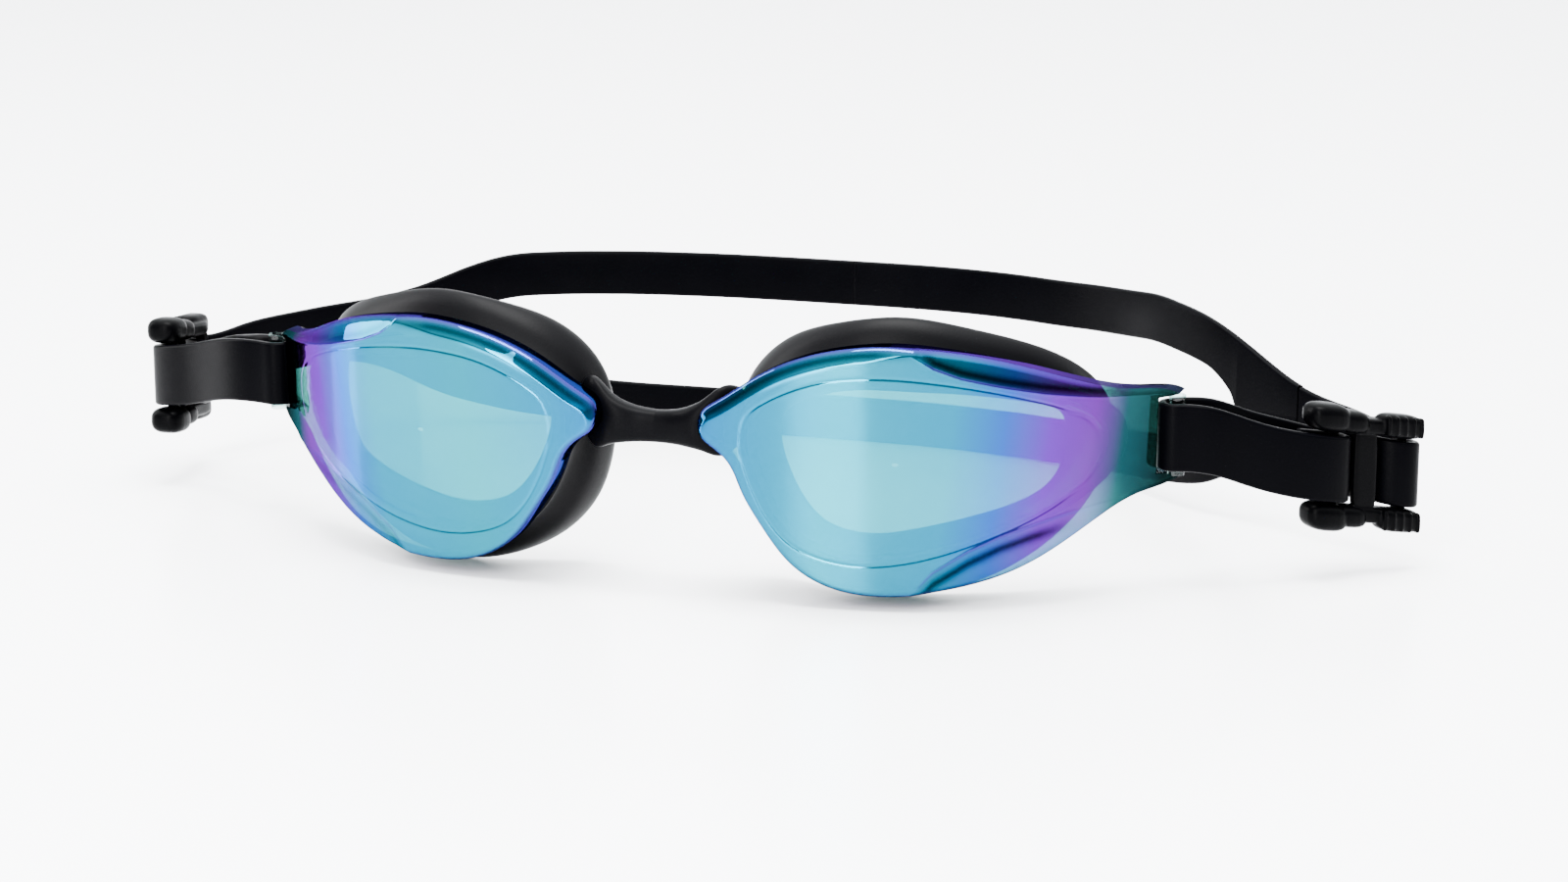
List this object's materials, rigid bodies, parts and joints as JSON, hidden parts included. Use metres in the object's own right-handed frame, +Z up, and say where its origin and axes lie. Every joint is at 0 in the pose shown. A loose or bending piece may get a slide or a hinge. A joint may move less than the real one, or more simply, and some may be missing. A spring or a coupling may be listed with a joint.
{
  "type": "swim goggles",
  "caption": "Wrap-around swim goggles with mirror lenses, silicone eye cups, a soft nose bridge and a split head strap with side buckles.",
  "frame": {"origin": "centre of the bounding box in plan, on the ground the goggles rest on", "axes": "+X towards the image-right lens, -Y the way the lenses face, +Z up"},
  "size_m": [0.2488, 0.1278, 0.05],
  "materials": {
    "bridge_silicone": "satin black silicone",
    "cup_silicone": "satin black silicone",
    "strap_silicone": "satin black silicone",
    "buckle_plastic": "satin black moulded nylon",
    "mirror_lens": "clear polycarbonate with a cyan to violet mirror coating"
  },
  "bodies": {
    "bridge": {"nose_bridge": "bridge_silicone"},
    "left_pod": {"left_lens": "mirror_lens", "left_gasket": "cup_silicone"},
    "right_pod": {"right_lens": "mirror_lens", "right_gasket": "cup_silicone"},
    "left_strap": {"left_side_strap": "strap_silicone", "left_buckle": "buckle_plastic"},
    "right_strap": {"right_side_strap": "strap_silicone", "right_buckle": "buckle_plastic"},
    "left_upper": {"left_upper_band": "strap_silicone"},
    "right_upper": {"right_upper_band": "strap_silicone"},
    "left_lower": {"left_lower_band": "strap_silicone"},
    "right_lower": {"right_lower_band": "strap_silicone"}
  },
  "joints": [
    {"name": "left_flex", "type": "hinge", "parent": "bridge", "child": "left_pod", "pos_m": [-0.01075, -0.05896, 0.03001], "axis": [0, 0, 1], "range_deg": [-4, 4], "stiffness_Nm_per_rad": 0.25},
    {"name": "right_flex", "type": "hinge", "parent": "bridge", "child": "right_pod", "pos_m": [0.00785, -0.05896, 0.03001], "axis": [0, 0, 1], "range_deg": [-4, 4], "stiffness_Nm_per_rad": 0.25},
    {"name": "left_swing", "type": "hinge", "parent": "left_pod", "child": "left_strap", "pos_m": [-0.08805, -0.02926, 0.02931], "axis": [0, 0, 1], "range_deg": [-5.59, 5.59], "stiffness_Nm_per_rad": 0.02},
    {"name": "right_swing", "type": "hinge", "parent": "right_pod", "child": "right_strap", "pos_m": [0.08515, -0.02926, 0.02931], "axis": [0, 0, 1], "range_deg": [-5.59, 5.59], "stiffness_Nm_per_rad": 0.02},
    {"name": "left_upper_spread", "type": "hinge", "parent": "left_strap", "child": "left_upper", "pos_m": [-0.08945, 0.04694, 0.02691], "axis": [0.9894, -0.1404, 0.0362], "range_deg": [-3, 10], "stiffness_Nm_per_rad": 0.08},
    {"name": "right_upper_spread", "type": "hinge", "parent": "right_strap", "child": "right_upper", "pos_m": [0.08255, 0.02254, 0.03321], "axis": [0.9894, -0.1404, 0.0362], "range_deg": [-3, 10], "stiffness_Nm_per_rad": 0.08},
    {"name": "left_lower_spread", "type": "hinge", "parent": "left_strap", "child": "left_lower", "pos_m": [-0.08945, 0.04694, 0.01231], "axis": [0.9901, -0.1405, -0.004], "range_deg": [-10, 3], "stiffness_Nm_per_rad": 0.08},
    {"name": "right_lower_spread", "type": "hinge", "parent": "right_strap", "child": "right_lower", "pos_m": [0.08255, 0.02254, 0.01161], "axis": [0.9901, -0.1405, -0.004], "range_deg": [-10, 3], "stiffness_Nm_per_rad": 0.08}
  ],
  "couplings": [
    {"joint": "right_flex", "follows": "left_flex", "ratio": -1},
    {"joint": "left_swing", "follows": "left_flex", "ratio": -1.3218},
    {"joint": "right_swing", "follows": "left_flex", "ratio": 1.3218},
    {"joint": "right_upper_spread", "follows": "left_upper_spread", "ratio": 1},
    {"joint": "right_lower_spread", "follows": "left_lower_spread", "ratio": 1}
  ]
}
